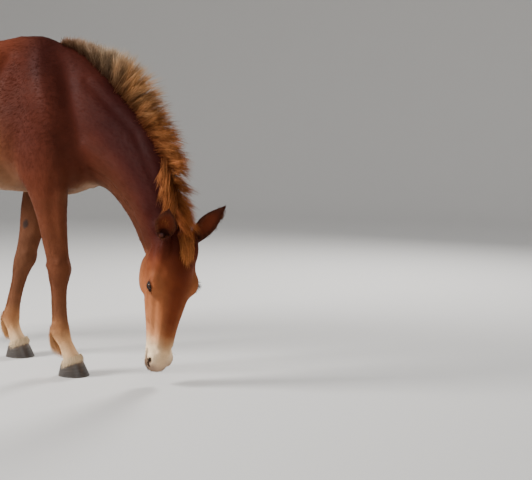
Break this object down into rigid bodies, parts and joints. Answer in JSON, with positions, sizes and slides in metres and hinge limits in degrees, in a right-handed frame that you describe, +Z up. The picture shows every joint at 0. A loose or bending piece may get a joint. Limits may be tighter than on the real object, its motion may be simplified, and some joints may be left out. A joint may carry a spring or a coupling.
{
  "type": "young mule",
  "caption": "Young chestnut mule with a pale muzzle and flaxen-tipped mane, standing and grazing with its head low and turned to its right.",
  "frame": {"origin": "on the floor, under the middle of the outline seen from above", "axes": "+X from the tail towards the head, +Y to the mule's left, +Z up"},
  "size_m": [1.9206, 0.496, 1.3161],
  "materials": {
    "coat": "short, flat, deep reddish chestnut hair with a soft sheen, tan on the belly and cream on the muzzle",
    "coat_legs": "short hair, chestnut above the knee and hock and mealy tan below",
    "tail_hair": "long coarse hair, orange-brown with paler tips",
    "eye": "wet dark brown with a level oval pupil",
    "horn": "dark grey hoof horn with faint growth rings and a pale coronet"
  },
  "bodies": {
    "root": {"torso": "coat", "neck": "coat", "head": "coat", "tail": "tail_hair", "ear_left": "coat", "ear_right": "coat", "eye_left": "eye", "eye_right": "eye", "foreleg_right": "coat_legs", "hoof_fore_right": "horn", "foreleg_left": "coat_legs", "hoof_fore_left": "horn", "hindleg_right": "coat_legs", "hoof_hind_right": "horn", "hindleg_left": "coat_legs", "hoof_hind_left": "horn"}
  },
  "joints": []
}
